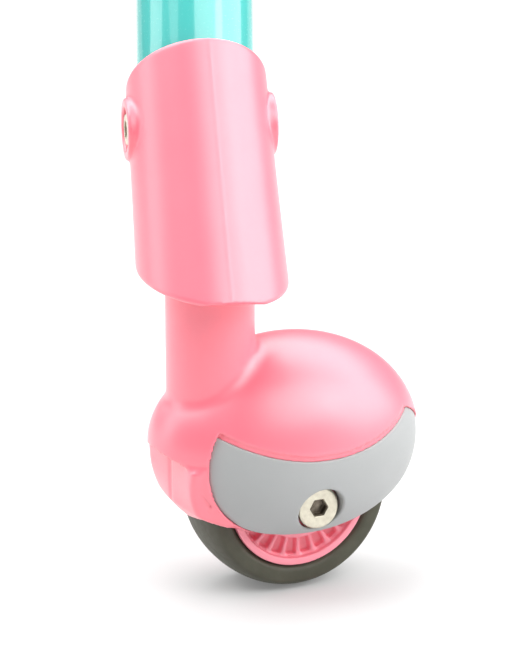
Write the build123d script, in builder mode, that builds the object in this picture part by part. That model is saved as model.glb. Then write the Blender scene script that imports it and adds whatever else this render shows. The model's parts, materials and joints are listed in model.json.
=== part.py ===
from build123d import *
import os
from math import cos, radians, sin, sqrt

# One swivelling wheel leg of a kick scooter, in millimetres.
# The origin is the centre of the leg tube's open upper end. +Z is up, +X is the way the
# wheel trails, and Y is the axle: the left side is -Y and the right side is +Y.

# ---- leg ----
tube_radius = 17.0
tube_wall = 1.5
tube_bend_radius = 120.0
upper_run = 50.0            # open end to the corner of the bend
lower_run = 52.1            # corner of the bend to the ankle point
upper_lean = 30.0           # degrees away from vertical
upper_azimuth = 66.8        # degrees from +X, the way the tube leans
lower_lean = 28.0
lower_azimuth = 75.4

# ---- ankle: distances along the lower leg, measured up from the ankle point ----
ankle_height = 105.0        # the ankle point above the ground
core_shoulder = 22.0        # where the tube's lower end sits
core_top = 46.0
core_radius = 17.7
core_spigot_radius = 15.4
core_base_height = 107.0
cross_bolt_along = 36.0
cross_hole_radius = 4.15
boss_radius = 9.0
boss_reach = 21.8
boss_recess_radius = 6.3
head_seat = 18.5
sleeve_fit_radius = 17.25
sleeve_skirt_radius = 18.0

# ---- swivel: heights above the ground on the vertical axis ----
stem_radius = 13.0
stem_top = 104.0
kingpin_bottom = 70.0
kingpin_top = 126.5
kingpin_radius = 5.0
kingpin_root_radius = 5.5
bush_bore_radius = 5.05
bush_radius = 7.0
washer_bore_radius = 5.1
washer_top = 105.5
lower_bush_top = 113.0
upper_bush_bottom = 115.0
pocket_floor = 121.0
pocket_radius = 8.5
upper_flange_top = 122.5
keeper_bottom = 123.5
keeper_top = 124.5
groove_radius = 4.2

# ---- wheel ----
trail = 23.45
wheel_radius = 30.0
half_width = 12.0
crown_drop = 3.3
rim_radius = 22.0
rim_inner_radius = 20.0
key_height = 1.5
key_half_width = 3.0
rib_count = 24
rib_thickness = 1.4
rib_reach = 10.5
web_half = 7.0
core_outer_radius = 13.5
slip = 0.05                 # gap between two pieces of one wheel

# ---- 608 bearings and axle ----
bearing_radius = 11.0
bearing_bore = 4.0
bearing_centre = 8.0
bearing_half = 3.5
race_outer = 9.2
race_inner = 5.8
ball_count = 7
ball_radius = 1.98
ball_circle = 7.5
groove_clearance = 0.04
shield_thickness = 0.35
axle_radius = 3.98
screw_radius = 3.0
axle_seat = 20.9
head_radius = 6.5
head_height = 3.5
hex_across_flats = 5.0
hex_depth = 3.0
spacer_radius = 6.0
boss_face = 13.0

# ---- housing ----
dome_centre_x = 24.5
dome_centre_z = 43.8
dome_x = 40.7
dome_y = 30.0
dome_z = 32.25
shell = 4.4
knuckle_radius = 18.1
knuckle_height = 47.0
hem_radius = 68.0           # the lower edge is an arc in side view
hem_centre_x = 20.0
hem_centre_z = 89.2
well_radius = 31.8
well_half_width = 13.5
hollow_start_x = 4.0
axle_boss_radius = 10.0
counterbore_radius = 8.2
wall_crease_x = -13.0       # the fold down the middle of the wall in front of the wheel
wall_centre_x = 9.0         # below wall_top the wall's corners follow an arc in side view
wall_top = 40.0
wall_radius = 22.3
wall_flare = 0.2            # how much the wall widens along its flanks
chin_height = 29.2          # below this the crease slopes back under the wheel
chin_slope = 0.93
chin_edge = 24.2
chin_edge_rise = 0.26
chin_back = -6.5
cover_sink = 0.5
cover_thickness = 2.0
cover_floor_gap = 0.1
cover_edge_gap = 0.2
cover_top_gap = 1.6         # a shallow rebate runs along a cover's upper edge
rebate_depth = 0.9
cover_half_gap = 6.0        # a cover stops this far from the housing's middle plane
cover_front = (13.4, 43.47)
cover_front_radius = 21.8
cover_toe = (9.1, 13.8)
cover_rear = (45.0, 34.0)
cover_rear_radius = 22.7
brow_centre = (24.8, 110.5)
brow_radius = 64.5
collar_radius = 8.0
collar_bore_radius = 7.0
peg_radius = 1.5
peg_spots = [(0.0, 40.0), (49.0, 41.0)]


def direction(lean, azimuth):
    """Unit vector that leans from vertical towards an azimuth, both in degrees."""
    across = sin(radians(lean))
    return Vector(
        across * cos(radians(azimuth)),
        across * sin(radians(azimuth)),
        cos(radians(lean)),
    )


upper_direction = direction(upper_lean, upper_azimuth)
lower_direction = direction(lower_lean, lower_azimuth)
bolt_direction = lower_direction.cross(Vector(0, 0, 1)).normalized()
bend_corner = upper_direction * -upper_run
ankle = bend_corner - lower_direction * lower_run
foot = ankle - Vector(0, 0, ankle_height)
wheel_centre = foot + Vector(trail, 0, wheel_radius)
bolt_centre = ankle + lower_direction * cross_bolt_along

ground = Plane(origin=foot)
side_view = Plane(origin=foot, x_dir=(1, 0, 0), z_dir=(0, -1, 0))
wheel_side = Plane(origin=wheel_centre, x_dir=(1, 0, 0), z_dir=(0, -1, 0))


def turned(origin, axis_direction, radial_direction):
    """Plane and axis for turned work: the plane's X is the radius, its Y the axis."""
    normal = radial_direction.cross(axis_direction)
    plane = Plane(origin=origin, x_dir=radial_direction, z_dir=normal)
    return plane, Axis(origin, axis_direction)


swivel = turned(foot, Vector(0, 0, 1), Vector(1, 0, 0))
axle = turned(wheel_centre, Vector(0, 1, 0), Vector(0, 0, 1))
leg = turned(ankle, lower_direction, bolt_direction)
cross = turned(bolt_centre, bolt_direction, lower_direction)


def ring(work, inner, outer, low, high, mode=Mode.ADD):
    """Turn a ring from inner to outer radius, between two places along the axis."""
    plane, axis = work
    with BuildSketch(plane) as section:
        with Locations(((inner + outer) / 2, (low + high) / 2)):
            Rectangle(outer - inner, high - low)
    revolve(section.sketch, axis=axis, mode=mode)


def hex_socket(face_plane):
    """Cut a hexagon socket into a screw head, down from its face."""
    with BuildSketch(face_plane) as socket:
        RegularPolygon(hex_across_flats / 2, 6, major_radius=False)
    extrude(socket.sketch, amount=-hex_depth, mode=Mode.SUBTRACT)


def keep_side(origin, normal):
    """Cut away all of the part that lies beyond a plane, on its normal's side."""
    with BuildSketch(Plane(origin=origin, z_dir=normal)) as cutter:
        Rectangle(200, 200)
    extrude(cutter.sketch, amount=120, mode=Mode.SUBTRACT)


def dome(inset):
    """The housing's ellipsoid, made smaller all round by an inset."""
    ball = Sphere(1, mode=Mode.PRIVATE)
    egg = scale(ball, by=(dome_x - inset, dome_y - inset, dome_z - inset), mode=Mode.PRIVATE)
    return Pos(foot.X + dome_centre_x, foot.Y, foot.Z + dome_centre_z) * egg


# ---------------------------------------------------------------- leg and ankle

with BuildPart() as leg_tube:
    with BuildLine() as route:
        FilletPolyline(
            ankle + lower_direction * core_shoulder,
            bend_corner,
            Vector(0, 0, 0),
            radius=tube_bend_radius,
        )
    with BuildSketch(Plane(origin=route.line @ 0, z_dir=route.line % 0)) as tube_section:
        Circle(tube_radius)
        Circle(tube_radius - tube_wall, mode=Mode.SUBTRACT)
    sweep(tube_section.sketch, path=route.line)
    ring(cross, 0, cross_hole_radius, -25, 25, mode=Mode.SUBTRACT)

with BuildPart() as ankle_sleeve:
    leg_plane, leg_axis = leg
    with BuildSketch(leg_plane) as sleeve_section:
        with BuildLine():
            Spline((22.3, -22), (21.8, -6), (20.9, 24), (20.4, 66))
            Line((20.4, 66), (sleeve_fit_radius, 66))
            Line((sleeve_fit_radius, 66), (sleeve_fit_radius, core_shoulder))
            Line((sleeve_fit_radius, core_shoulder), (sleeve_skirt_radius, core_shoulder))
            Line((sleeve_skirt_radius, core_shoulder), (sleeve_skirt_radius, 2))
            Line((sleeve_skirt_radius, 2), (19.4, -22))
            Line((19.4, -22), (22.3, -22))
        make_face()
    revolve(sleeve_section.sketch, axis=leg_axis)
    for side in (-1, 1):
        ring(cross, 0, boss_radius, min(side * head_seat, side * boss_reach),
             max(side * head_seat, side * boss_reach))
    for side in (-1, 1):
        ring(cross, 0, boss_recess_radius, min(side * head_seat, side * 30),
             max(side * head_seat, side * 30), mode=Mode.SUBTRACT)
    ring(cross, 0, cross_hole_radius, -25, 25, mode=Mode.SUBTRACT)
    keep_side(ankle + lower_direction * 49.8, direction(47.5, lower_azimuth))
    keep_side(ankle - lower_direction * 8.6, Vector(-0.049, 0.100, -1))

with BuildPart() as ankle_core:
    ring(leg, 0, core_radius, -14, core_shoulder)
    ring(leg, 0, core_spigot_radius, core_shoulder, core_top)
    keep_side(foot + Vector(0, 0, core_base_height), Vector(0, 0, -1))
    ring(swivel, 0, bush_radius, 90, pocket_floor, mode=Mode.SUBTRACT)
    ring(swivel, 0, pocket_radius, pocket_floor, 160, mode=Mode.SUBTRACT)
    ring(cross, 0, cross_hole_radius, -25, 25, mode=Mode.SUBTRACT)

with BuildPart() as lower_pivot_bush:
    ring(swivel, bush_bore_radius, 10, washer_top, core_base_height)
    ring(swivel, bush_bore_radius, bush_radius, core_base_height, lower_bush_top)

with BuildPart() as upper_pivot_bush:
    ring(swivel, bush_bore_radius, bush_radius, upper_bush_bottom, pocket_floor)
    ring(swivel, bush_bore_radius, 8.2, pocket_floor, upper_flange_top)

with BuildPart() as cross_bolt:
    ring(cross, 0, screw_radius, -head_seat, 6)
    ring(cross, 0, 5.0, -head_seat - 3.0, -head_seat)
    chamfer(cross_bolt.edges().filter_by(GeomType.CIRCLE).sort_by(cross[1])[0], 0.8)
    hex_socket(Plane(origin=bolt_centre - bolt_direction * (head_seat + 3.0),
                     z_dir=-bolt_direction))

with BuildPart() as cross_barrel_nut:
    ring(cross, 0, 4.05, -16.5, head_seat)
    ring(cross, 0, 5.0, head_seat, head_seat + 3.0)
    chamfer(cross_barrel_nut.edges().filter_by(GeomType.CIRCLE).sort_by(cross[1])[-1], 0.8)
    hex_socket(Plane(origin=bolt_centre + bolt_direction * (head_seat + 3.0),
                     z_dir=bolt_direction))
    ring(cross, 0, screw_radius + slip, -16.5, 8, mode=Mode.SUBTRACT)

# ---------------------------------------------------------------- swivel

with BuildPart() as kingpin:
    ring(swivel, 0, kingpin_root_radius, kingpin_bottom, stem_top - 1)
    ring(swivel, 0, kingpin_radius, stem_top - 1, kingpin_top)
    chamfer(kingpin.edges().filter_by(GeomType.CIRCLE).sort_by(Axis.Z)[-1], 0.8)
    ring(swivel, groove_radius, kingpin_radius + 1, keeper_bottom, keeper_top,
         mode=Mode.SUBTRACT)

with BuildPart() as thrust_washer:
    ring(swivel, washer_bore_radius, 12, stem_top, washer_top)

with BuildPart() as kingpin_washer:
    ring(swivel, washer_bore_radius, 8, upper_flange_top, keeper_bottom)

with BuildPart() as kingpin_circlip:
    with BuildSketch(ground.offset(keeper_bottom)):
        Circle(7.4)
        Circle(groove_radius + slip, mode=Mode.SUBTRACT)
        with Locations((6, 0)):
            Rectangle(6, 5, mode=Mode.SUBTRACT)
    extrude(amount=keeper_top - keeper_bottom)

# ---------------------------------------------------------------- housing and covers


def cover_outline(edge_gap, top_gap):
    """Side-view outline of a cover: two round ends, the hem's arc below, a brow above."""
    front_x, front_z = cover_front
    rear_x, rear_z = cover_rear
    rear_top = rear_z + cover_rear_radius + edge_gap
    with BuildSketch(side_view) as outline:
        with Locations(cover_front):
            Circle(cover_front_radius + edge_gap)
        with Locations(cover_rear):
            Circle(cover_rear_radius + edge_gap)
        with BuildLine():
            Polyline(
                cover_front,
                cover_toe,
                (rear_x, rear_z - cover_rear_radius - edge_gap),
                (rear_x, rear_top),
                (front_x, rear_top),
                close=True,
            )
        make_face()
        with Locations((hem_centre_x, hem_centre_z)):
            Circle(hem_radius + edge_gap, mode=Mode.INTERSECT)
        with Locations(brow_centre):
            Circle(brow_radius - top_gap, mode=Mode.SUBTRACT)
    return outline.sketch


with BuildPart() as axle_bosses:
    for side in (-1, 1):
        ring(axle, 0, axle_boss_radius, min(side * boss_face, side * 28),
             max(side * boss_face, side * 28))
    add(dome(1.0), mode=Mode.INTERSECT)

with BuildPart() as hollow:
    add(dome(shell))
    keep_side(foot + Vector(hollow_start_x, 0, 60), Vector(-1, 0, 0))

with BuildPart() as arch_opening:
    with BuildSketch(Plane(origin=foot, x_dir=(0, 1, 0), z_dir=(1, 0, 0))):
        with BuildLine():
            Line((-14.7, 15), (-14.7, 29))
            Spline((-14.7, 29), (-16.5, 34.5), (-16.3, 40.0), (-13.2, 43.7), (0, 47.0),
                   (13.2, 43.7), (16.3, 40.0), (16.5, 34.5), (14.7, 29))
            Line((14.7, 29), (14.7, 15))
            Line((14.7, 15), (-14.7, 15))
        make_face()
    extrude(amount=-30)


def wall_plan(height):
    """Plan of the wall in front of the wheel: two facets that meet at a crease, and two flanks."""
    rise = (height - 30) / 10
    flank_x = -9.0 - 2.0 * rise
    flank_y = 15.1 + 1.5 * rise
    drop = max(wall_top - height, 0)
    corner_x = wall_centre_x - sqrt(wall_radius ** 2 - drop ** 2)
    corner_y = flank_y + wall_flare * (corner_x - flank_x)
    crease_x = wall_crease_x + chin_slope * max(chin_height - height, 0)
    back_x = 2
    back_y = flank_y + wall_flare * (back_x - flank_x)
    with BuildSketch(ground.offset(height)) as plan:
        with BuildLine():
            Polyline(
                (back_x, -back_y),
                (corner_x, -corner_y),
                (crease_x, 0),
                (corner_x, corner_y),
                (back_x, back_y),
                close=True,
            )
        make_face()
    return plan.sketch


with BuildPart() as front_wall:
    loft([wall_plan(height) for height in (20, 23, 26, 29.2, 33, 36.5, 40, 48)], ruled=True)

with BuildPart() as chin:
    with BuildSketch(Plane(origin=foot + Vector(chin_back, 0, 0), x_dir=(0, 1, 0), z_dir=(1, 0, 0))):
        with BuildLine():
            Polyline(
                (0, chin_edge),
                (18, chin_edge + 18 * chin_edge_rise),
                (18, 32),
                (-18, 32),
                (-18, chin_edge + 18 * chin_edge_rise),
                close=True,
            )
        make_face()
    extrude(amount=-16)
    add(front_wall.part, mode=Mode.INTERSECT)
    ring(axle, 0, well_radius, -well_half_width, well_half_width, mode=Mode.SUBTRACT)

with BuildPart() as arch_recess:
    add(arch_opening.part)
    add(front_wall.part, mode=Mode.SUBTRACT)

with BuildPart() as lower_wall:
    add(front_wall.part)
    keep_side(foot + Vector(0, 0, 44), Vector(0, 0, 1))

with BuildPart() as cover_pockets:
    extrude(cover_outline(cover_edge_gap, cover_edge_gap), amount=40, both=True)
    with Locations(foot + Vector(0, 0, 40)):
        Box(200, 2 * (cover_half_gap - cover_edge_gap), 200, mode=Mode.SUBTRACT)
    add(dome(cover_sink + cover_thickness + cover_floor_gap), mode=Mode.SUBTRACT)

with BuildPart() as brow_rebates:
    extrude(cover_outline(cover_edge_gap, cover_top_gap), amount=40, both=True)
    with Locations(foot + Vector(0, 0, 40)):
        Box(200, 2 * (cover_half_gap - cover_edge_gap), 200, mode=Mode.SUBTRACT)
    add(dome(rebate_depth), mode=Mode.SUBTRACT)

with BuildPart() as wheel_housing:
    add(dome(0))
    with Locations(foot + Vector(0, 0, knuckle_height)):
        Sphere(knuckle_radius)
    ring(swivel, 0, stem_radius, knuckle_height, stem_top)
    add(hollow.part, mode=Mode.SUBTRACT)
    add(arch_recess.part, mode=Mode.SUBTRACT)
    add(lower_wall.part)
    add(axle_bosses.part)
    ring(axle, 0, well_radius, -well_half_width, well_half_width, mode=Mode.SUBTRACT)
    for side in (-1, 1):
        ring(axle, 4.05, axle_boss_radius, min(side * boss_face, side * well_half_width),
             max(side * boss_face, side * well_half_width))
    with BuildSketch(side_view) as hem:
        with Locations((hem_centre_x, hem_centre_z)):
            Circle(hem_radius)
    extrude(hem.sketch, amount=40, both=True, mode=Mode.INTERSECT)
    add(chin.part)
    add(cover_pockets.part, mode=Mode.SUBTRACT)
    add(brow_rebates.part, mode=Mode.SUBTRACT)
    for side in (-1, 1):
        ring(axle, 0, counterbore_radius, min(side * axle_seat, side * 40),
             max(side * axle_seat, side * 40), mode=Mode.SUBTRACT)
        for spot_x, spot_z in peg_spots:
            peg_work = turned(foot + Vector(spot_x, 0, spot_z), Vector(0, 1, 0), Vector(0, 0, 1))
            ring(peg_work, 0, peg_radius + 0.1, min(side * 16, side * 30),
                 max(side * 16, side * 30), mode=Mode.SUBTRACT)
    ring(axle, 0, axle_radius + 0.07, -40, 40, mode=Mode.SUBTRACT)
    ring(swivel, 0, kingpin_root_radius, kingpin_bottom, stem_top + 5, mode=Mode.SUBTRACT)

with BuildPart() as cover_back:
    for spot_x, spot_z in peg_spots:
        peg_work = turned(foot + Vector(spot_x, 0, spot_z), Vector(0, 1, 0), Vector(0, 0, 1))
        ring(peg_work, 0, peg_radius, -30, -17.5)
    ring(axle, 0, collar_radius, -30, -axle_seat - cover_floor_gap)
    add(dome(cover_sink + cover_thickness - 0.3), mode=Mode.INTERSECT)

with BuildPart() as left_side_cover:
    add(dome(cover_sink))
    add(dome(cover_sink + cover_thickness), mode=Mode.SUBTRACT)
    extrude(cover_outline(0, 0), amount=40, mode=Mode.INTERSECT)
    with Locations(foot + Vector(0, 0, 40)):
        Box(200, 2 * cover_half_gap, 200, mode=Mode.SUBTRACT)
    add(cover_back.part)
    ring(axle, 0, collar_bore_radius, -40, -10, mode=Mode.SUBTRACT)

with BuildPart() as right_side_cover:
    mirror(left_side_cover.part, about=side_view)

# ---------------------------------------------------------------- axle

with BuildPart() as axle_screw:
    ring(axle, 0, head_radius, -axle_seat - head_height, -axle_seat)
    ring(axle, 0, screw_radius, -axle_seat, 4)
    chamfer(axle_screw.edges().filter_by(GeomType.CIRCLE).sort_by(Axis.Y)[0], 1.0)
    hex_socket(wheel_side.offset(axle_seat + head_height))

with BuildPart() as axle_barrel:
    ring(axle, 0, head_radius, axle_seat, axle_seat + head_height)
    ring(axle, 0, axle_radius, -axle_seat + 0.6, axle_seat)
    chamfer(axle_barrel.edges().filter_by(GeomType.CIRCLE).sort_by(Axis.Y)[-1], 1.0)
    hex_socket(Plane(origin=wheel_centre + Vector(0, axle_seat + head_height, 0),
                     x_dir=(1, 0, 0), z_dir=(0, 1, 0)))
    ring(axle, 0, screw_radius + slip, -axle_seat, 6, mode=Mode.SUBTRACT)

with BuildPart() as centre_spacer:
    ring(axle, bearing_bore, spacer_radius, -bearing_centre + bearing_half,
         bearing_centre - bearing_half)

# ---------------------------------------------------------------- wheel

with BuildPart() as tyre:
    tyre_plane, tyre_axis = axle
    seat = rim_radius + slip
    shoulder = wheel_radius - crown_drop
    with BuildSketch(tyre_plane) as tyre_section:
        with BuildLine():
            Line((seat, -half_width), (shoulder, -half_width))
            EllipticalCenterArc((shoulder, 0), crown_drop, half_width, start_angle=-90, arc_size=180)
            Line((shoulder, half_width), (seat, half_width))
            Line((seat, half_width), (seat, -half_width))
        make_face()
    revolve(tyre_section.sketch, axis=tyre_axis)
    ring(axle, rim_radius, rim_radius + key_height + slip, -key_half_width - slip,
         key_half_width + slip, mode=Mode.SUBTRACT)

with BuildPart() as wheel_hub:
    ring(axle, rim_inner_radius, rim_radius, -half_width, half_width)
    ring(axle, rim_inner_radius, rim_radius + key_height, -key_half_width, key_half_width)
    ring(axle, bearing_radius, core_outer_radius, -half_width, half_width)
    ring(axle, 8.5, core_outer_radius, bearing_half - bearing_centre, bearing_centre - bearing_half)
    ring(axle, core_outer_radius - 0.5, rim_inner_radius + 0.5, -web_half, web_half)
    rib_middle = (core_outer_radius + rim_inner_radius) / 2
    rib_length = rim_inner_radius - core_outer_radius + 1.0
    with BuildSketch(wheel_side) as ribs:
        with PolarLocations(rib_middle, rib_count):
            Rectangle(rib_length, rib_thickness)
    extrude(ribs.sketch, amount=rib_reach, both=True)

pieces = {
    "leg_tube": leg_tube,
    "ankle_sleeve": ankle_sleeve,
    "ankle_core": ankle_core,
    "lower_pivot_bush": lower_pivot_bush,
    "upper_pivot_bush": upper_pivot_bush,
    "cross_bolt": cross_bolt,
    "cross_barrel_nut": cross_barrel_nut,
    "kingpin": kingpin,
    "thrust_washer": thrust_washer,
    "kingpin_washer": kingpin_washer,
    "kingpin_circlip": kingpin_circlip,
    "wheel_housing": wheel_housing,
    "left_side_cover": left_side_cover,
    "right_side_cover": right_side_cover,
    "axle_screw": axle_screw,
    "axle_barrel": axle_barrel,
    "centre_spacer": centre_spacer,
    "tyre": tyre,
    "wheel_hub": wheel_hub,
}

# ---------------------------------------------------------------- bearings, one on each side


def raceway(centre):
    """Cut the groove that a bearing's balls run in."""
    plane, axis = axle
    with BuildSketch(plane) as groove:
        with Locations((ball_circle, centre)):
            Circle(ball_radius + groove_clearance)
    revolve(groove.sketch, axis=axis, mode=Mode.SUBTRACT)


def ball_directions():
    """Unit vectors from the axle to a bearing's balls, evenly spaced."""
    turns = [360 / ball_count * number for number in range(ball_count)]
    return [Vector(cos(radians(turn)), 0, sin(radians(turn))) for turn in turns]


for side_name, side in (("left", -1), ("right", 1)):
    middle = side * bearing_centre
    low = middle - bearing_half
    high = middle + bearing_half
    bearing_middle = wheel_centre + Vector(0, middle, 0)

    with BuildPart() as inner_ring:
        ring(axle, bearing_bore, race_inner, low, high)
        raceway(middle)

    with BuildPart() as outer_ring:
        ring(axle, race_outer, bearing_radius, low, high)
        raceway(middle)

    with BuildPart() as shields:
        ring(axle, race_inner + 0.3, race_outer, low, low + shield_thickness)
        ring(axle, race_inner + 0.3, race_outer, high - shield_thickness, high)

    with BuildPart() as balls:
        with Locations(*[bearing_middle + outward * ball_circle for outward in ball_directions()]):
            Sphere(ball_radius)

    with BuildPart() as cage:
        ring(axle, ball_circle - 0.6, ball_circle + 0.6, middle - 2.3, middle + 2.3)
        for outward in ball_directions():
            with BuildSketch(Plane(origin=bearing_middle, z_dir=outward)) as window:
                Circle(ball_radius + groove_clearance)
            extrude(window.sketch, amount=12, mode=Mode.SUBTRACT)

    with BuildPart() as axle_spacer:
        ring(axle, bearing_bore + slip, spacer_radius, min(side * 11.5, side * boss_face),
             max(side * 11.5, side * boss_face))

    pieces[side_name + "_bearing_inner_ring"] = inner_ring
    pieces[side_name + "_bearing_outer_ring"] = outer_ring
    pieces[side_name + "_bearing_shields"] = shields
    pieces[side_name + "_bearing_balls"] = balls
    pieces[side_name + "_bearing_cage"] = cage
    pieces[side_name + "_axle_spacer"] = axle_spacer

os.makedirs("parts", exist_ok=True)
for name, piece in pieces.items():
    piece.part.label = name
    export_step(piece.part, "parts/" + name + ".step")
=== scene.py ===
import json
import math

import bpy
import numpy as np
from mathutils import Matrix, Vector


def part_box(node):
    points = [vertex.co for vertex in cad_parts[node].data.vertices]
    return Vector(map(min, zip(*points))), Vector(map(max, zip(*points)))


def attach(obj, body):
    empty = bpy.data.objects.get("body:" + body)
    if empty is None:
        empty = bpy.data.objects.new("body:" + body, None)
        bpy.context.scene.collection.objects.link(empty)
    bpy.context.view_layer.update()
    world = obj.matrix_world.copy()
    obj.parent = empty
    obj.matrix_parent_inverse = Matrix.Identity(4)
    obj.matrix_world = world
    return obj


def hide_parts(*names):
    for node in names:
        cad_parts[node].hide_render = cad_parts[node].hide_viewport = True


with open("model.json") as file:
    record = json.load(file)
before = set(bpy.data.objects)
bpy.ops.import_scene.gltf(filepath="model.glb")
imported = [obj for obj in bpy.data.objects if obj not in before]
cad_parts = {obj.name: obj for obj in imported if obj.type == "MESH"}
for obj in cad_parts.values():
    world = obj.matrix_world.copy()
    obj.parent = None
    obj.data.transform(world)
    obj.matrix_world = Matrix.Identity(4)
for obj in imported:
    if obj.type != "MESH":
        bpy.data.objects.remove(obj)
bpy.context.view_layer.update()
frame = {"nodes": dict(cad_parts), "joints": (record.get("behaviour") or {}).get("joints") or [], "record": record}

import openvdb
from mathutils import Matrix, Vector

MM = 0.001
SIDES = (("left", -1), ("right", 1))

# ------------------------------------------------------------------ places, read from the frame

JOINTS = {joint["name"]: joint for joint in frame["joints"]}
MOUNT = frame["record"]["mounts"][0]
WHEEL_CENTRE = Vector(JOINTS["wheel_spin"]["pos_m"])
SWIVEL = Vector(JOINTS["swivel"]["pos_m"])
FLOOR_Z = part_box("tyre")[0].z
FOOT = Vector((SWIVEL.x, SWIVEL.y, FLOOR_Z))
WHEEL_RADIUS = (WHEEL_CENTRE.z - FLOOR_Z) / MM
TRAIL = (WHEEL_CENTRE.x - SWIVEL.x) / MM
TUBE_AXIS = Vector(MOUNT["axis"]).normalized()


def direction(lean, azimuth):
    """Unit vector that leans from vertical towards an azimuth, both in radians."""
    return Vector((
        math.sin(lean) * math.cos(azimuth),
        math.sin(lean) * math.sin(azimuth),
        math.cos(lean),
    ))


def frame_matrix(origin, x_axis, y_axis, z_axis):
    """Matrix that takes millimetres in a local set of axes to metres in the row frame."""
    turn = Matrix((x_axis, y_axis, z_axis)).transposed().to_4x4()
    return Matrix.Translation(origin) @ turn @ Matrix.Scale(MM, 4)


UPPER_RUN = 50.0            # open end of the tube to the corner of its bend
LOWER_RUN = 52.1            # corner of the bend to the ankle point
LOWER_LEAN = math.radians(28.0)
LOWER_AZIMUTH = math.radians(75.4)
LEG_AXIS = direction(LOWER_LEAN, LOWER_AZIMUTH)
BEND_CORNER = TUBE_AXIS * (-UPPER_RUN * MM)
ANKLE = BEND_CORNER - LEG_AXIS * (LOWER_RUN * MM)
BOLT_AXIS = LEG_AXIS.cross(Vector((0, 0, 1))).normalized()
FRONT_AXIS = BOLT_AXIS.cross(LEG_AXIS).normalized()
LEG_TURN = Matrix((BOLT_AXIS, FRONT_AXIS, LEG_AXIS))

WHEEL_AXES = frame_matrix(FOOT, Vector((1, 0, 0)), Vector((0, 1, 0)), Vector((0, 0, 1)))
HUB_AXES = frame_matrix(WHEEL_CENTRE, Vector((1, 0, 0)), Vector((0, 1, 0)), Vector((0, 0, 1)))
LEG_AXES = frame_matrix(ANKLE, BOLT_AXIS, FRONT_AXIS, LEG_AXIS)

# ------------------------------------------------------------------ dimensions, in millimetres
# Housing and covers: x back from the swivel axis, z up from the ground, width from the wheel's
# middle plane.

DOME_CENTRE = (24.5, 0.0, 43.8)
DOME_AXES = (40.7, 30.0, 32.25)
SHELL = 4.4
HOLLOW_START_X = 4.0
KNUCKLE_RADIUS = 18.1
KNUCKLE_HEIGHT = 47.0
SKIRT_TOP = 45.8            # below this line the front is drawn in by a small step
SKIRT_STEP = 0.35
SKIRT_BACK = 6.0
SKIRT_FADE = 4.0
STEM_RADIUS = 13.0
STEM_ROOT = 40.0
STEM_TOP = 104.0
STEM_FILLET = 1.6           # in front of the stem, and larger by FILLET_GROWTH behind it
FILLET_GROWTH = 2.4
FILLET_START = -6.0
FILLET_RUN = 14.0
KINGPIN_BORE_RADIUS = 5.5
KINGPIN_BORE_BOTTOM = 70.0
HEM_RADIUS = 68.0           # the lower edge is an arc in side view
HEM_CENTRE = (20.0, 89.2)
WELL_RADIUS = 31.8
WELL_HALF_WIDTH = 13.5

AXLE_BOSS_RADIUS = 10.0
AXLE_BOSS_FACE = 13.0
AXLE_HOLE_RADIUS = 4.05
AXLE_SEAT = 20.9
HEAD_HEIGHT = 3.5
HEAD_RADIUS = 6.4
SOCKET_HALF = 2.5
SOCKET_FLOOR = 1.1
COUNTERBORE_RADIUS = 8.2
SCREW_RADIUS = 3.0
SCREW_END = 4.0             # past the wheel's middle plane
PINHOLE = 0.4               # left down the middle of a turned piece that is really solid
BARREL_RADIUS = 3.98
BARREL_BORE = 3.05
THROUGH = -1.0              # start of an axle disc that has no gap at the middle plane
OUTSIDE = 60.0              # end of an axle disc that runs out of the housing

COLLAR_RADIUS = 8.0
COLLAR_BORE = 7.0
COVER_SINK = 0.5
COVER_THICKNESS = 2.0
COVER_FLOOR_GAP = 0.1
COVER_HALF_GAP = 6.0        # a cover stops this far from the housing's middle plane
COVER_FRONT = (13.4, 43.47)
COVER_FRONT_RADIUS = 21.8
COVER_REAR = (45.0, 34.0)
COVER_REAR_RADIUS = 22.7
COVER_TOE_SLOPE = (0.99, 0.143)
BROW_RADIUS = 64.5
BROW_CENTRE = (24.8, 110.5)
POCKET_GAP = -0.12
POCKET_BROW_GAP = -0.15
POCKET_HALF_GAP = COVER_HALF_GAP - 0.2
REBATE_BROW_GAP = 1.6
REBATE_DEPTH = 0.8

CREASE_X = -13.0            # the fold down the middle of the wall in front of the wheel
CREASE_DEPTH = 0.5
CREASE_HALF_WIDTH = 1.1
WALL_CENTRE_X = 9.0         # below WALL_TOP the wall's corners follow an arc in side view
WALL_TOP = 40.0
WALL_RADIUS = 22.3
WALL_BACK = -2.0
WALL_LOFT = 43.0
WALL_FLARE = 0.2            # how much the wall widens along its flanks
FACE_SLOPE = 1.4            # these two keep the wall's field about as steep as a distance
FLANK_SLOPE = 1.02
FLANK_LEVEL = 30.0
FLANK_X = -9.0
FLANK_X_LEAN = 2.0          # per 10 mm of height
FLANK_HALF_WIDTH = 15.1
FLANK_WIDTH_LEAN = 1.5      # per 10 mm of height
NECK_TOP = 44.5
NECK_INSET = 0.7
NECK_TAPER = 0.25
NECK_TAPER_START = 38.0
ARCH_TOP = 47.0
ARCH_FALL = 0.0185
ARCH_SHOULDER = 0.23
ARCH_SHOULDER_START = 13.5
ARCH_HALF_WIDTH = 16.6
ARCH_TAPER = 0.045
ARCH_TAPER_START = 35.5
CHIN_HEIGHT = 29.2          # below this the crease slopes back under the wheel
CHIN_SLOPE = 0.93
CHIN_EDGE = 24.2
CHIN_EDGE_RISE = 0.26
CHIN_BACK = -6.5
CHIN_INSET = 0.4

# Sleeve: distances along the lower leg, measured up from the ankle point.

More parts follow.
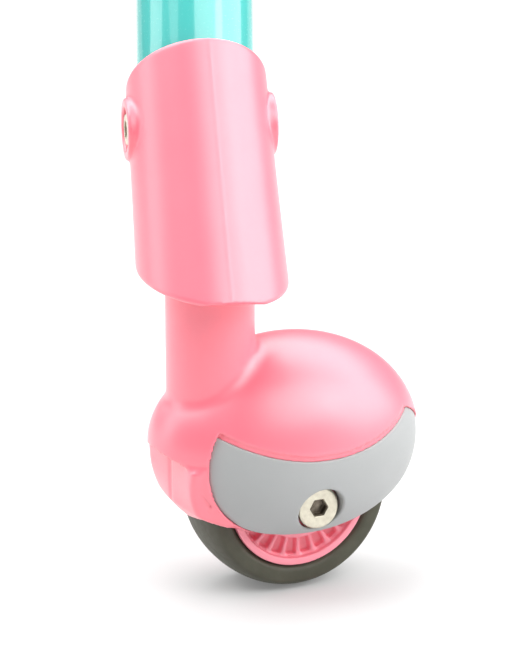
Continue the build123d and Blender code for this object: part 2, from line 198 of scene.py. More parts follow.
BOLT_ALONG = 36.0
SLEEVE_FOOT = -22.0
SLEEVE_HOLLOW_TOP = 24.0    # up to here from its foot the sleeve's side is slightly hollow
SLEEVE_FOOT_RADIUS = 22.3
SLEEVE_TAPER = 0.03043
SLEEVE_HOLLOW = 0.0002106
SEAM_TURN = math.radians(4.5)
SEAM_HEIGHT = 0.11
SEAM_HALF_WIDTH = 0.45
BOSS_RADIUS = 9.0
BOSS_REACH = 21.8
BOSS_RECESS_RADIUS = 6.3
HEAD_SEAT = 18.5
CROSS_HOLE_RADIUS = 4.15
CORE_SHOULDER = 22.0
SLEEVE_FIT_RADIUS = 17.25
SLEEVE_SKIRT_RADIUS = 18.0
SKIRT_FLARE = 1.4
SKIRT_FLARE_START = 2.0
SKIRT_FLARE_RUN = 24.0
SLEEVE_TOP = 49.8
SLEEVE_TOP_LEAN = math.radians(47.5)
SLEEVE_BOTTOM = -8.6
SLEEVE_BOTTOM_NORMAL = (-0.049, 0.100, -1)

# Wheel: radii from the axle, and widths to each side of the wheel's middle plane.

RIB_COUNT = 24
RIB_HALF = 0.62
RIB_FLARE = 0.03
RIB_FLARE_START = 16.0
RIB_REACH = 10.4
RIM_RADIUS = 20.9
RIM_HALF = 1.1
LIP_RADIUS = 19.9
LIP_HALF = 0.9
LIP_REACH = 10.2
CORE_RADIUS = 12.25
CORE_HALF = 1.25
WEB_RADIUS = 16.5
WEB_HALF = 5.0
WEB_REACH = 7.9
KEY_RADIUS = 22.5
KEY_HALF = 1.0
KEY_REACH = 3.0
BEARING_RADIUS = 11.0
BEARING_STOP_HALF = 2.5
BEARING_STOP_REACH = 4.5
TYRE_HALF_WIDTH = 12.0
TYRE_BED = 22.05
TYRE_CROWN_START = 26.7
TYRE_CROWN_DROP = 3.3
TYRE_SHOULDER = 25.6
TYRE_KEYWAY_RADIUS = 23.55
TYRE_KEYWAY_HALF = 3.05
CROWN_STEPS = 32
SHANK_STEPS = 48
TYRE_STEPS = 192


# ------------------------------------------------------------------ solid fields

def join(a, b, softness):
    """Union of two distance fields with a fillet."""
    blend = np.clip(0.5 + 0.5 * (b - a) / softness, 0, 1)
    return b + (a - b) * blend - softness * blend * (1 - blend)


def cut(a, b, softness):
    """Field a with field b taken away, the edge between them rounded."""
    return -join(-a, b, softness)


def meet(a, b, softness):
    """What two fields share, the edge between them rounded."""
    return -join(-a, -b, softness)


def ellipsoid(x, y, z, centre, axes):
    """Distance field of an ellipsoid, exact on its surface."""
    px, py, pz = x - centre[0], y - centre[1], z - centre[2]
    near = np.sqrt((px / axes[0]) ** 2 + (py / axes[1]) ** 2 + (pz / axes[2]) ** 2)
    steep = np.sqrt((px / axes[0] ** 2) ** 2 + (py / axes[1] ** 2) ** 2 + (pz / axes[2] ** 2) ** 2)
    return near * (near - 1) / np.maximum(steep, 1e-6)


def dome(x, y, z, inset):
    """The housing's dome, drawn in by an inset."""
    return ellipsoid(x, y, z, DOME_CENTRE, [axis - inset for axis in DOME_AXES])


def axle_disc(x, y, z, radius, low, high):
    """Cylinder about the axle, between two distances from the wheel's middle plane."""
    around = np.hypot(x - TRAIL, z - WHEEL_RADIUS) - radius
    along = np.maximum(low - np.abs(y), np.abs(y) - high)
    return np.maximum(around, along)


def hem_disc(x, z):
    """Side-view disc whose lower arc is the hem of the housing and of the covers."""
    return np.hypot(x - HEM_CENTRE[0], z - HEM_CENTRE[1]) - HEM_RADIUS


def cover_region(x, z, gap, brow_gap):
    """Side-view field of a cover: two round ends, the brow arc above and the hem arc below."""
    brow = BROW_RADIUS - np.hypot(x - BROW_CENTRE[0], z - BROW_CENTRE[1]) - brow_gap
    hem = hem_disc(x, z) - gap
    front = np.hypot(x - COVER_FRONT[0], z - COVER_FRONT[1]) - COVER_FRONT_RADIUS - gap
    rear = np.hypot(np.maximum(x - COVER_REAR[0], 0), z - COVER_REAR[1]) - COVER_REAR_RADIUS - gap
    behind_front = (COVER_TOE_SLOPE[0] * (COVER_FRONT[0] - x)
                    - COVER_TOE_SLOPE[1] * (COVER_FRONT[1] - z))
    ends = np.minimum(front, np.maximum(rear, behind_front))
    return np.maximum(np.maximum(brow, hem), ends)


def front_wall(x, width, z):
    """Field of the wall in front of the wheel: a straight crease between two facets, flat at the
    lip and folded into a chin lower down, with flanks turned back along the wheel."""
    rise = (z - FLANK_LEVEL) / 10
    flank_x = FLANK_X - FLANK_X_LEAN * rise
    flank_y = FLANK_HALF_WIDTH + FLANK_WIDTH_LEAN * rise
    drop = np.clip(WALL_TOP - z, 0, WALL_RADIUS - 1)
    corner_x = WALL_CENTRE_X - np.sqrt(WALL_RADIUS ** 2 - drop ** 2)
    crease_x = CREASE_X + CHIN_SLOPE * np.clip(CHIN_HEIGHT - z, 0, 20)
    fold = (corner_x - crease_x) / flank_y
    groove = CREASE_DEPTH * np.exp(-(width / CREASE_HALF_WIDTH) ** 2)
    face = (crease_x + groove + fold * width - x) / np.sqrt(FACE_SLOPE + fold * fold)
    side = (width - flank_y - WALL_FLARE * (x - flank_x)) / FLANK_SLOPE
    return meet(face, side, softness=1.6)


def front_arch(width, z):
    """Opening cut in front of the wall: its top edge falls towards the sides, and its jambs close
    in lower down."""
    shoulder = np.clip(width - ARCH_SHOULDER_START, 0, 5)
    top = ARCH_TOP - ARCH_FALL * width ** 2 - ARCH_SHOULDER * shoulder ** 2
    jamb = ARCH_HALF_WIDTH - ARCH_TAPER * np.clip(ARCH_TAPER_START - z, 0, 20) ** 2
    return meet(z - top, width - jamb, softness=2.0)


def surface(name, field, low, high, step, place):
    """Mesh of a field's zero surface over a box, placed by a matrix."""
    axes = [np.arange(low[i] - 2 * step, high[i] + 3 * step, step, dtype=np.float32) for i in range(3)]
    x, y, z = np.meshgrid(*axes, indexing="ij", sparse=True)
    values = np.ascontiguousarray(np.broadcast_to(field(x, y, z), [len(a) for a in axes]), np.float32)
    grid = openvdb.FloatGrid(4 * step)
    grid.copyFromArray(np.clip(values, -4 * step, 4 * step))
    points, quads = grid.convertToQuads(0.0)
    points = points * step + np.array([axis[0] for axis in axes])
    mesh = bpy.data.meshes.new(name)
    mesh.from_pydata(points.tolist(), [], quads.tolist())
    mesh.transform(place)
    mesh.validate()
    return smooth_piece(name, mesh)


def lathe(name, profile, count, place):
    """Closed solid of revolution about local Y from (radius, along) points."""
    verts = []
    for turn in range(count):
        angle = 2 * math.pi * turn / count
        for radius, along in profile:
            verts.append((radius * math.cos(angle), along, radius * math.sin(angle)))
    rows = len(profile)
    faces = []
    for turn in range(count):
        following = (turn + 1) % count
        for row in range(rows):
            after = (row + 1) % rows
            faces.append((turn * rows + row, turn * rows + after,
                          following * rows + after, following * rows + row))
    mesh = bpy.data.meshes.new(name)
    mesh.from_pydata(verts, [], faces)
    mesh.transform(place)
    return smooth_piece(name, mesh)


def smooth_piece(name, mesh):
    """Object with a smooth-shaded mesh, linked to the scene."""
    mesh.polygons.foreach_set("use_smooth", np.ones(len(mesh.polygons), bool))
    mesh.update()
    piece = bpy.data.objects.new(name, mesh)
    bpy.context.scene.collection.objects.link(piece)
    return piece


def finish_piece(piece, body, slot, material, *nodes):
    """Material, body and the CAD nodes that a piece stands for. The slot argument is not used."""
    piece.data.materials.clear()
    piece.data.materials.append(material)
    if nodes:
        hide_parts(*nodes)
    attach(piece, body)
    return piece


# ------------------------------------------------------------------ node materials

def new_material(name):
    """A node material, with its nodes, links and shader."""
    material = bpy.data.materials.new(name)
    material.use_nodes = True
    nodes = material.node_tree.nodes
    return material, nodes, material.node_tree.links, nodes["Principled BSDF"]


def noise(nodes, links, scale, detail, roughness=0.55, stretch=None):
    """A noise texture in the row's own metres, with its scale in features per metre."""
    place = nodes.new("ShaderNodeTexCoord")
    texture = nodes.new("ShaderNodeTexNoise")
    texture.inputs["Scale"].default_value = scale
    texture.inputs["Detail"].default_value = detail
    texture.inputs["Roughness"].default_value = roughness
    if stretch:
        mapping = nodes.new("ShaderNodeMapping")
        mapping.inputs["Scale"].default_value = stretch
        links.new(place.outputs["Object"], mapping.inputs["Vector"])
        links.new(mapping.outputs["Vector"], texture.inputs["Vector"])
    else:
        links.new(place.outputs["Object"], texture.inputs["Vector"])
    return texture.outputs["Fac"]


def spread(nodes, links, value, low, high):
    """Map a 0 to 1 noise onto a range."""
    node = nodes.new("ShaderNodeMapRange")
    node.inputs["From Min"].default_value = 0.3
    node.inputs["From Max"].default_value = 0.7
    node.inputs["To Min"].default_value = low
    node.inputs["To Max"].default_value = high
    links.new(value, node.inputs["Value"])
    return node.outputs["Result"]


def two_tone(nodes, links, value, first, second):
    """Fade from one colour to another over a 0 to 1 noise."""
    ramp = nodes.new("ShaderNodeValToRGB")
    ramp.color_ramp.elements[0].position = 0.3
    ramp.color_ramp.elements[1].position = 0.7
    ramp.color_ramp.elements[0].color = (*first, 1)
    ramp.color_ramp.elements[1].color = (*second, 1)
    links.new(value, ramp.inputs["Fac"])
    return ramp.outputs["Color"]


def bump(nodes, links, height, strength, distance, below=None):
    """Relief from a noise, on top of any relief below it."""
    node = nodes.new("ShaderNodeBump")
    node.inputs["Strength"].default_value = strength
    node.inputs["Distance"].default_value = distance
    links.new(height, node.inputs["Height"])
    if below is not None:
        links.new(below, node.inputs["Normal"])
    return node.outputs["Normal"]


def moulded_plastic(name, first, second, roughness, grain, ripple=0.0, specular=0.5, coat=0.0):
    """Injection-moulded plastic: slight clouding of the colour, an eroded grain, faint sink marks."""
    material, nodes, links, shader = new_material(name)
    clouds = noise(nodes, links, scale=55, detail=4)
    links.new(two_tone(nodes, links, clouds, first, second), shader.inputs["Base Color"])
    wear = noise(nodes, links, scale=900, detail=3)
    links.new(spread(nodes, links, wear, roughness - 0.04, roughness + 0.05),
              shader.inputs["Roughness"])
    fine = bump(nodes, links, noise(nodes, links, scale=2600, detail=2, roughness=0.6),
                strength=grain, distance=0.00006)
    if ripple:
        fine = bump(nodes, links, noise(nodes, links, scale=70, detail=2),
                    strength=ripple, distance=0.0006, below=fine)
    links.new(fine, shader.inputs["Normal"])
    shader.inputs["Specular IOR Level"].default_value = specular
    shader.inputs["Coat Weight"].default_value = coat
    shader.inputs["Coat Roughness"].default_value = 0.36
    shader.inputs["Coat IOR"].default_value = 1.6
    return material


def painted(name, first, second):
    """Gloss powder coat: colour under a clear coat, with a faint orange peel."""
    material, nodes, links, shader = new_material(name)
    clouds = noise(nodes, links, scale=90, detail=3)
    links.new(two_tone(nodes, links, clouds, first, second), shader.inputs["Base Color"])
    wear = noise(nodes, links, scale=1500, detail=2)
    links.new(spread(nodes, links, wear, 0.2, 0.28), shader.inputs["Roughness"])
    peel = bump(nodes, links, noise(nodes, links, scale=320, detail=2), strength=0.05, distance=0.0002)
    links.new(peel, shader.inputs["Normal"])
    shader.inputs["Coat Weight"].default_value = 0.8
    shader.inputs["Coat Roughness"].default_value = 0.04
    shader.inputs["Coat IOR"].default_value = 1.62
    return material


def metal(name, first, second, roughness, grain, stretch=None):
    """Bare or plated metal with fine working marks."""
    material, nodes, links, shader = new_material(name)
    clouds = noise(nodes, links, scale=700, detail=4)
    links.new(two_tone(nodes, links, clouds, first, second), shader.inputs["Base Color"])
    wear = noise(nodes, links, scale=2400, detail=3)
    links.new(spread(nodes, links, wear, roughness - 0.06, roughness + 0.08),
              shader.inputs["Roughness"])
    working = noise(nodes, links, scale=3000, detail=3, roughness=0.6, stretch=stretch)
    marks = bump(nodes, links, working, strength=grain, distance=0.00005)
    links.new(marks, shader.inputs["Normal"])
    shader.inputs["Metallic"].default_value = 1.0
    return material


def tread(name, first, second):
    """Cast polyurethane tyre: dull, a little mottled, with a fine matt tooth."""
    material, nodes, links, shader = new_material(name)
    clouds = noise(nodes, links, scale=160, detail=5, roughness=0.6)
    links.new(two_tone(nodes, links, clouds, first, second), shader.inputs["Base Color"])
    wear = noise(nodes, links, scale=500, detail=4)
    links.new(spread(nodes, links, wear, 0.46, 0.62), shader.inputs["Roughness"])
    tooth = bump(nodes, links, noise(nodes, links, scale=3200, detail=3, roughness=0.7),
                 strength=0.3, distance=0.00006)
    links.new(tooth, shader.inputs["Normal"])
    shader.inputs["Specular IOR Level"].default_value = 0.45
    return material


PINK = moulded_plastic("pink_plastic", (0.985, 0.154, 0.222), (0.995, 0.168, 0.236),
                       roughness=0.45, grain=0.3, ripple=0.1, specular=1.0, coat=1.0)
# A lighter copy of the housing's pink: the extra lightness paints the bounce light on the hub's shaded pockets and
# rim.
HUB_PINK_PAINTED_BOUNCE = moulded_plastic("hub_plastic", (0.985, 0.275, 0.355), (0.995, 0.30, 0.38),
                           roughness=0.45, grain=0.25, ripple=0.1, specular=0.8, coat=0.5)
GREY = moulded_plastic("grey_plastic", (0.375, 0.386, 0.386), (0.395, 0.406, 0.406),
                       roughness=0.45, grain=0.2)
NYLON = moulded_plastic("core_nylon", (0.020, 0.020, 0.022), (0.035, 0.035, 0.037),
                        roughness=0.6, grain=0.5)
ACETAL = moulded_plastic("bush_acetal", (0.74, 0.72, 0.66), (0.80, 0.78, 0.72),
                         roughness=0.45, grain=0.2)
CAGE = moulded_plastic("cage_nylon", (0.012, 0.016, 0.014), (0.022, 0.028, 0.025),
                       roughness=0.5, grain=0.2)
TEAL = painted("teal_paint", (0.062, 0.475, 0.44), (0.069, 0.495, 0.458))
NICKEL = metal("bolt_steel", (0.63, 0.59, 0.48), (0.755, 0.72, 0.595), roughness=0.38, grain=0.9)
# Dark steel colours that paint the shade inside the screw heads' hex sockets.
SOCKET_PAINTED_SHADE = metal("socket_painted_shade", (0.10, 0.085, 0.065), (0.22, 0.19, 0.15),
                     roughness=0.32, grain=0.6)
STEEL = metal("pin_steel", (0.38, 0.38, 0.39), (0.46, 0.46, 0.47),
              roughness=0.3, grain=0.3, stretch=(1, 1, 6))
SPRING = metal("spring_steel", (0.03, 0.03, 0.035), (0.06, 0.06, 0.065), roughness=0.45, grain=0.3)
CHROME = metal("bearing_steel", (0.60, 0.61, 0.63), (0.68, 0.69, 0.71), roughness=0.14, grain=0.15)
SHIELD = metal("shield_steel", (0.50, 0.51, 0.52), (0.58, 0.59, 0.60), roughness=0.32, grain=0.3)
SPACER = metal("spacer_aluminium", (0.66, 0.66, 0.67), (0.74, 0.74, 0.75),
               roughness=0.3, grain=0.3, stretch=(1, 5, 1))
TYRE = tread("tyre_polyurethane", (0.058, 0.058, 0.038), (0.077, 0.077, 0.052))

SLOT_MATERIALS = {
    "pink_plastic": PINK,
    "hub_plastic": HUB_PINK_PAINTED_BOUNCE,
    "grey_plastic": GREY,
    "core_nylon": NYLON,
    "bush_acetal": ACETAL,
    "cage_nylon": CAGE,
    "teal_paint": TEAL,
    "bolt_steel": NICKEL,
    "pin_steel": STEEL,
    "spring_steel": SPRING,
    "bearing_steel": CHROME,
    "shield_steel": SHIELD,
    "spacer_aluminium": SPACER,
    "tyre_polyurethane": TYRE,
}
for row in frame["record"]["subparts"]:
    node_mesh = frame["nodes"][row["node"]].data
    node_mesh.materials.clear()
    node_mesh.materials.append(SLOT_MATERIALS[row["material_slot"]])


# ------------------------------------------------------------------ housing

def housing_skin(x, y, z):
    """Outside of the dome, the knuckle in front of it and the stem above."""
    below = np.clip((SKIRT_TOP - z) / 0.5, 0, 1)
    ahead = np.clip((SKIRT_BACK - x) / SKIRT_FADE, 0, 1)
    lower_skirt = SKIRT_STEP * below * ahead
    body = dome(x, y, z, inset=0) + lower_skirt
    knuckle = np.sqrt(x * x + y * y + (z - KNUCKLE_HEIGHT) ** 2) - KNUCKLE_RADIUS + lower_skirt
    body = join(body, knuckle, softness=5.0)
    stem_ends = np.abs(z - (STEM_TOP + STEM_ROOT) / 2) - (STEM_TOP - STEM_ROOT) / 2
    stem = meet(np.hypot(x, y) - STEM_RADIUS, stem_ends, softness=1.0)
    fillet = STEM_FILLET + FILLET_GROWTH * np.clip((x - FILLET_START) / FILLET_RUN, 0, 1)
    return join(body, stem, softness=fillet)


def housing_front(body, x, width, z):
    """The neck under the knuckle, the arch cut into it and the wall behind that arch."""
    wall = front_wall(x, width, z)
    wall_slab = np.maximum(wall, x - WALL_BACK)
    neck = np.maximum(wall_slab, z - NECK_TOP) + NECK_INSET
    neck = neck + NECK_TAPER * np.clip(z - NECK_TAPER_START, 0, 12)
    body = join(body, neck, softness=5.0)
    body = cut(body, np.maximum(front_arch(width, z), -wall), softness=0.35)
    return join(body, wall_slab + np.clip(z - WALL_LOFT, 0, 50), softness=0.3)


def housing_field(x, y, z):
    """The whole housing: a hollow dome with a wheel well, pockets for the covers and bores."""
    width = np.abs(y)
    body = housing_skin(x, y, z)
    hollow = meet(dome(x, y, z, SHELL), HOLLOW_START_X - x, softness=3.0)
    body = cut(body, hollow, softness=1.0)
    body = housing_front(body, x, width, z)
    boss = axle_disc(x, y, z, AXLE_BOSS_RADIUS, AXLE_BOSS_FACE, DOME_AXES[1])
    body = join(body, np.maximum(boss, dome(x, y, z, inset=1.0)), softness=1.5)
    well = axle_disc(x, y, z, WELL_RADIUS, THROUGH, WELL_HALF_WIDTH)
    pads = axle_disc(x, y, z, AXLE_BOSS_RADIUS, AXLE_BOSS_FACE, WELL_HALF_WIDTH + 1)
    body = cut(body, cut(well, pads, softness=0.4), softness=0.6)
    wall = front_wall(x, width, z)
    chin_edge = CHIN_EDGE + CHIN_EDGE_RISE * width - z
    chin = np.maximum(np.maximum(wall + CHIN_INSET, x - CHIN_BACK), chin_edge)
    body = meet(body, np.minimum(hem_disc(x, z), chin), softness=0.9)
    pocket_floor = COVER_SINK + COVER_THICKNESS + COVER_FLOOR_GAP
    pocket = np.maximum(cover_region(x, z, POCKET_GAP, POCKET_BROW_GAP), -dome(x, y, z, pocket_floor))
    pocket = np.maximum(pocket, POCKET_HALF_GAP - width)
    body = cut(body, pocket, softness=0.15)
    rebate = np.maximum(cover_region(x, z, POCKET_GAP, REBATE_BROW_GAP), -dome(x, y, z, REBATE_DEPTH))
    rebate = np.maximum(rebate, POCKET_HALF_GAP - width)
    body = cut(body, rebate, softness=0.4)
    body = cut(body, axle_disc(x, y, z, COUNTERBORE_RADIUS, AXLE_SEAT, OUTSIDE), softness=0.3)
    body = cut(body, axle_disc(x, y, z, AXLE_HOLE_RADIUS, THROUGH, OUTSIDE), softness=0.2)
    bore = np.maximum(np.hypot(x, y) - KINGPIN_BORE_RADIUS, KINGPIN_BORE_BOTTOM - z)
    return cut(body, bore, softness=0.2)


HOUSING_STEP = 0.55
housing = surface("housing_shell", housing_field, low=(-19, -31, 20), high=(66, 31, 105),
                  step=HOUSING_STEP, place=WHEEL_AXES)
finish_piece(housing, "caster", "pink_plastic", PINK, "wheel_housing")


# ------------------------------------------------------------------ side covers

def cover_field(x, y, z, side):
    """One side cover: a plate cut from the dome's skin, with a collar round the screw's head."""
    skin = meet(dome(x, y, z, COVER_SINK), -dome(x, y, z, COVER_SINK + COVER_THICKNESS), softness=0.3)
    plate = meet(skin, cover_region(x, z, gap=0.0, brow_gap=0.0), softness=0.45)
    plate = np.maximum(plate, COVER_HALF_GAP - side * y)
    collar = axle_disc(x, y, z, COLLAR_RADIUS, AXLE_SEAT + 0.1, OUTSIDE)
    plate = join(plate, np.maximum(collar, dome(x, y, z, COVER_SINK + 1.0)), softness=0.3)
    plate = np.maximum(plate, -side * y)
    return cut(plate, axle_disc(x, y, z, COLLAR_BORE, THROUGH, OUTSIDE), softness=0.5)


COVER_STEP = 0.36
for side_name, side in SIDES:
    near, far = sorted((side * 5, side * 31))
    cover = surface(side_name + "_cover_shell", lambda x, y, z: cover_field(x, y, z, side),
                    low=(-11, near, 19), high=(66, far, 58), step=COVER_STEP, place=WHEEL_AXES)
    finish_piece(cover, "caster", "grey_plastic", GREY, side_name + "_side_cover")


# ------------------------------------------------------------------ sleeve

def plane_field(a, b, s, normal, height):
    """Signed distance from a plane that crosses the lower leg's axis at a height."""
    return a * normal.x + b * normal.y + (s - height) * normal.z


def sleeve_field(a, b, s):
    """Ankle sleeve: a runs along the cross bolt, b to the front, s up the lower leg."""
    radius = np.hypot(a, b)
    above_foot = s - SLEEVE_FOOT
    outer_radius = (SLEEVE_FOOT_RADIUS - SLEEVE_TAPER * above_foot
                    + SLEEVE_HOLLOW * above_foot * (s - SLEEVE_HOLLOW_TOP))
    off_seam = a * math.cos(SEAM_TURN) - b * math.sin(SEAM_TURN)
    seam = SEAM_HEIGHT * np.exp(-(off_seam / SEAM_HALF_WIDTH) ** 2) * (b > 0)
    outer = radius - outer_radius - seam
    from_bolt = np.hypot(b, s - BOLT_ALONG)
    boss = meet(from_bolt - BOSS_RADIUS, np.abs(a) - BOSS_REACH, softness=0.7)
    outer = join(outer, boss, softness=1.0)
    skirt_flare = SKIRT_FLARE * np.clip((SKIRT_FLARE_START - s) / SKIRT_FLARE_RUN, 0, 1)
    bore_radius = np.where(s > CORE_SHOULDER, SLEEVE_FIT_RADIUS, SLEEVE_SKIRT_RADIUS) + skirt_flare
    sleeve = cut(outer, radius - bore_radius, softness=0.5)
    top_normal = LEG_TURN @ direction(SLEEVE_TOP_LEAN, LOWER_AZIMUTH)
    sleeve = meet(sleeve, plane_field(a, b, s, top_normal, SLEEVE_TOP), softness=1.6)
    bottom_normal = LEG_TURN @ Vector(SLEEVE_BOTTOM_NORMAL).normalized()
    sleeve = meet(sleeve, plane_field(a, b, s, bottom_normal, SLEEVE_BOTTOM), softness=1.8)
    recess = np.maximum(from_bolt - BOSS_RECESS_RADIUS, HEAD_SEAT - np.abs(a))
    sleeve = cut(sleeve, recess, softness=0.6)
    return cut(sleeve, from_bolt - CROSS_HOLE_RADIUS, softness=0.2)


SLEEVE_STEP = 0.42
sleeve = surface("ankle_sleeve_shell", sleeve_field, low=(-23, -24, -20), high=(23, 24, 64),
                 step=SLEEVE_STEP, place=LEG_AXES)
finish_piece(sleeve, "leg", "pink_plastic", PINK, "ankle_sleeve")


# ------------------------------------------------------------------ hub

def ring(radius, depth, middle, half, reach, softness):
    """Ring about the axle: its middle radius, half its thickness and half its width."""
    return meet(np.abs(radius - middle) - half, depth - reach, softness)


def hub_field(x, y, z):
    """Hub: a rim with a lip and a key, a web with ribs, and a core with a stop for the bearings."""
    radius = np.hypot(x, z)
    depth = np.abs(y)
    rim = ring(radius, depth, RIM_RADIUS, RIM_HALF, TYRE_HALF_WIDTH, softness=0.5)
    lip = ring(radius, depth, LIP_RADIUS, LIP_HALF, LIP_REACH, softness=0.6)
    core = ring(radius, depth, CORE_RADIUS, CORE_HALF, TYRE_HALF_WIDTH, softness=0.5)
    body = np.minimum(join(rim, lip, softness=0.8), np.maximum(core, BEARING_RADIUS - radius))
    web = ring(radius, depth, WEB_RADIUS, WEB_HALF, WEB_REACH, softness=0.3)
    body = join(body, web, softness=1.2)
    step = 2 * math.pi / RIB_COUNT
    angle = np.arctan2(z, x)
    across = radius * np.sin((angle + step / 2) % step - step / 2)
    rib_half = RIB_HALF + RIB_FLARE * np.clip(radius - RIB_FLARE_START, 0, 5) ** 2
    rib = meet(np.abs(across) - rib_half, np.abs(radius - WEB_RADIUS) - (WEB_HALF - 0.5), softness=0.4)
    rib = meet(rib, depth - RIB_REACH, softness=0.8)
    body = join(body, rib, softness=0.7)
    bearing_stop = np.maximum(np.abs(radius - BEARING_RADIUS) - BEARING_STOP_HALF,
                              depth - BEARING_STOP_REACH)
    key = ring(radius, depth, KEY_RADIUS, KEY_HALF, KEY_REACH, softness=0.3)
    return np.minimum(np.minimum(body, bearing_stop), key)


HUB_STEP = 0.33
hub = surface("hub_casting", hub_field, low=(-24, -12.5, -24), high=(24, 12.5, 24),
              step=HUB_STEP, place=HUB_AXES)
finish_piece(hub, "wheel", "hub_plastic", HUB_PINK_PAINTED_BOUNCE, "wheel_hub")


# ------------------------------------------------------------------ axle screw and barrel

def hexagon(x, z):
    """Distance from the middle of a hexagon towards its flats."""
    corner = math.radians(60)
    first = np.abs(z)
    second = np.abs(x * math.sin(corner) + z * math.cos(corner))
    third = np.abs(x * math.sin(corner) - z * math.cos(corner))
    return np.maximum(np.maximum(first, second), third)


def head_field(x, y, z, side):
    """Turned screw head with a hexagon socket."""
    along = side * y - AXLE_SEAT
    radius = np.hypot(x, z)
    ends = np.abs(along - HEAD_HEIGHT / 2) - HEAD_HEIGHT / 2
    head = meet(radius - HEAD_RADIUS, ends, softness=0.9)
    socket = np.maximum(hexagon(x, z) - SOCKET_HALF, SOCKET_FLOOR - along)
    return cut(head, socket, softness=0.3)


def socket_shade_field(x, y, z, side):
    """Painted shade inside a socket: a thin dark floor and a thin dark wall that stand in for the shade of the hex
    recess.
    """
    along = side * y - AXLE_SEAT
    inside = hexagon(x, z) - SOCKET_HALF + 0.02
    cup = np.maximum(np.maximum(inside, SOCKET_FLOOR - 0.1 - along), along - HEAD_HEIGHT + 0.5)
    hollow = np.maximum(inside + 0.25, SOCKET_FLOOR + 0.25 - along)
    return np.maximum(cup, -hollow)


HEAD_STEP = 0.12
for (side_name, side), body_node in zip(SIDES, ("axle_screw", "axle_barrel")):
    ends = (side * (AXLE_SEAT - 0.2), side * (AXLE_SEAT + HEAD_HEIGHT + 0.2))
    low = (-7, min(ends), -7)
    high = (7, max(ends), 7)
    head = surface(side_name + "_screw_head", lambda x, y, z: head_field(x, y, z, side),
                   low=low, high=high, step=HEAD_STEP, place=HUB_AXES)
    finish_piece(head, "caster", "bolt_steel", NICKEL, body_node)
    # A thin dark cup lines each socket and paints the shade of its hex recess.
    socket_shade = surface(side_name + "_socket_painted_shade", lambda x, y, z: socket_shade_field(x, y, z, side),
                     low=low, high=high, step=HEAD_STEP, place=HUB_AXES)
    finish_piece(socket_shade, "caster", "bolt_steel", SOCKET_PAINTED_SHADE)

# The screw's shank goes into the barrel's bore, and the barrel is a tube from side to side.
for side_name, bore, radius, start, stop, body_node in (
    ("left", PINHOLE, SCREW_RADIUS, -AXLE_SEAT - 0.3, SCREW_END, "axle_screw"),
    ("right", BARREL_BORE, BARREL_RADIUS, -AXLE_SEAT + 0.6, AXLE_SEAT + 0.3, "axle_barrel"),
):
    section = [(bore, start), (radius, start), (radius, stop), (bore, stop)]
    shank = lathe(side_name + "_shank", section, SHANK_STEPS, HUB_AXES)
    finish_piece(shank, "caster", "bolt_steel", NICKEL, body_node)


# ------------------------------------------------------------------ tyre

def tyre_profile():
    """Half-round crown, softened shoulders, a groove at the rim and the keyway inside."""
    shoulder = [(TYRE_BED, -10.4), (22.5, -10.4), (22.8, -11.3), (23.3, -11.8),
                (24.2, -TYRE_HALF_WIDTH), (TYRE_SHOULDER, -TYRE_HALF_WIDTH)]
    crown = []
    for number in range(CROWN_STEPS + 1):
        angle = -math.pi / 2 + math.pi * number / CROWN_STEPS
        crown.append((TYRE_CROWN_START + TYRE_CROWN_DROP * math.cos(angle),
                      TYRE_HALF_WIDTH * math.sin(angle)))
    far_shoulder = [(radius, -along) for radius, along in reversed(shoulder)]
    keyway = [(TYRE_BED, TYRE_KEYWAY_HALF), (TYRE_KEYWAY_RADIUS, TYRE_KEYWAY_HALF),
              (TYRE_KEYWAY_RADIUS, -TYRE_KEYWAY_HALF), (TYRE_BED, -TYRE_KEYWAY_HALF)]
    return shoulder + crown + far_shoulder + keyway


tyre = lathe("tyre_casting", tyre_profile(), TYRE_STEPS, HUB_AXES)
finish_piece(tyre, "wheel", "tyre_polyurethane", TYRE, "tyre")

# ------------------------------------------------------------------ camera

ELEVATION = math.radians(20.0)
TURN = math.radians(25.0)
DISTANCE = 0.9
SENSOR_HEIGHT = 36.0
LENS = 162.48
LOOK_UP = math.radians(2.783)
LOOK_LEFT = math.radians(0.5135)
RIGHT = Vector((math.cos(TURN), -math.sin(TURN), 0))
AWAY = Vector((math.sin(TURN), math.cos(TURN), 0))
BACK = -AWAY * math.cos(ELEVATION) + Vector((0, 0, math.sin(ELEVATION)))
UP = BACK.cross(RIGHT)

camera_data = bpy.data.cameras.new("camera")
camera_data.sensor_fit = "VERTICAL"
camera_data.sensor_height = SENSOR_HEIGHT
camera_data.lens = LENS
camera = bpy.data.objects.new("camera", camera_data)
bpy.context.scene.collection.objects.link(camera)
eye = WHEEL_CENTRE + BACK * DISTANCE
turned_axes = Matrix((RIGHT, UP, BACK)).transposed()
aim = Matrix.Rotation(LOOK_UP, 3, "X") @ Matrix.Rotation(LOOK_LEFT, 3, "Y")
camera.matrix_world = Matrix.Translation(eye) @ (turned_axes @ aim).to_4x4()
bpy.context.scene.camera = camera


# ------------------------------------------------------------------ floor, world and lights

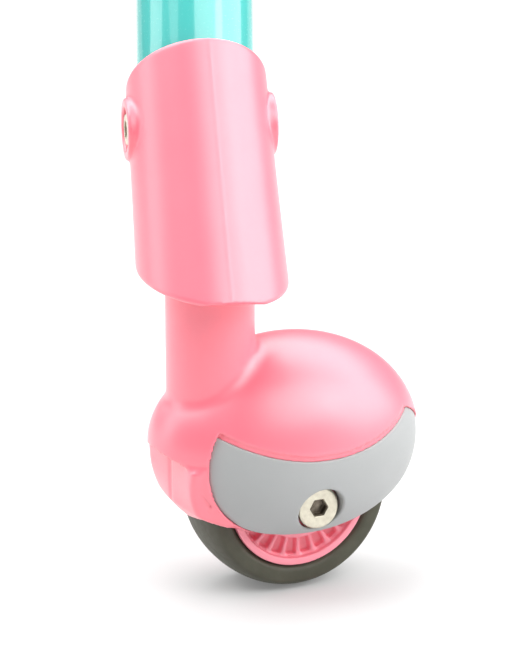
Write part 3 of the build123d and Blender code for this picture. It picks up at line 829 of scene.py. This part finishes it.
def studio_floor():
    """Matt floor that glows more with distance, so that it stays pale out of the lights."""
    material, nodes, links, shader = new_material("floor")
    shader.inputs["Base Color"].default_value = (0.54, 0.54, 0.54, 1)
    shader.inputs["Roughness"].default_value = 0.9
    shader.inputs["Specular IOR Level"].default_value = 0.0
    shader.inputs["Emission Color"].default_value = (1, 1, 1, 1)
    place = nodes.new("ShaderNodeNewGeometry")
    reach = nodes.new("ShaderNodeVectorMath")
    reach.operation = "LENGTH"
    glow = nodes.new("ShaderNodeMapRange")
    glow.inputs["From Min"].default_value = 0.5
    glow.inputs["From Max"].default_value = 2.2
    glow.inputs["To Min"].default_value = 0.16
    glow.inputs["To Max"].default_value = 0.68
    links.new(place.outputs["Position"], reach.inputs[0])
    links.new(reach.outputs["Value"], glow.inputs["Value"])
    links.new(glow.outputs["Result"], shader.inputs["Emission Strength"])
    half = 8.0
    corners = [(-half, -half, FLOOR_Z), (half, -half, FLOOR_Z), (half, half, FLOOR_Z),
               (-half, half, FLOOR_Z)]
    mesh = bpy.data.meshes.new("floor")
    mesh.from_pydata(corners, [], [(0, 1, 2, 3)])
    mesh.materials.append(material)
    floor = bpy.data.objects.new("floor", mesh)
    bpy.context.scene.collection.objects.link(floor)
    return floor


studio_floor()

world = bpy.data.worlds.new("studio")
bpy.context.scene.world = world
world.use_nodes = True
world.node_tree.nodes["Background"].inputs["Color"].default_value = (1, 1, 1, 1)
world.node_tree.nodes["Background"].inputs["Strength"].default_value = 0.2

LIGHTS_AIM = WHEEL_CENTRE + Vector((0, 0, 0.07))


def softbox(name, azimuth, elevation, distance, size, strength):
    """Area light around the object: azimuth in degrees to the right of the camera."""
    angle = math.radians(azimuth)
    lift = math.radians(elevation)
    flat = -AWAY * math.cos(angle) + RIGHT * math.sin(angle)
    outward = flat * math.cos(lift) + Vector((0, 0, math.sin(lift)))
    width, height = size
    data = bpy.data.lights.new(name, "AREA")
    data.shape = "RECTANGLE"
    data.size = width
    data.size_y = height
    data.energy = strength * width * height * math.pi
    light = bpy.data.objects.new(name, data)
    bpy.context.scene.collection.objects.link(light)
    light.location = LIGHTS_AIM + outward * distance
    light.rotation_euler = outward.to_track_quat("Z", "Y").to_euler()


softbox("key_front", azimuth=40, elevation=46, distance=1.15, size=(1.05, 0.9), strength=3.1)
softbox("key_side", azimuth=88, elevation=26, distance=1.15, size=(1.1, 0.9), strength=3.4)
softbox("left_strip", azimuth=-92, elevation=24, distance=1.2, size=(0.5, 1.2), strength=2.6)
softbox("left_front", azimuth=-62, elevation=50, distance=1.3, size=(0.6, 0.6), strength=1.5)
softbox("left_back", azimuth=-138, elevation=34, distance=1.2, size=(0.8, 1.2), strength=1.4)
softbox("back_top", azimuth=155, elevation=55, distance=1.15, size=(1.3, 0.9), strength=3.1)
softbox("overhead", azimuth=-100, elevation=68, distance=1.15, size=(1.0, 1.0), strength=3.6)

bpy.context.scene.view_settings.view_transform = "Standard"
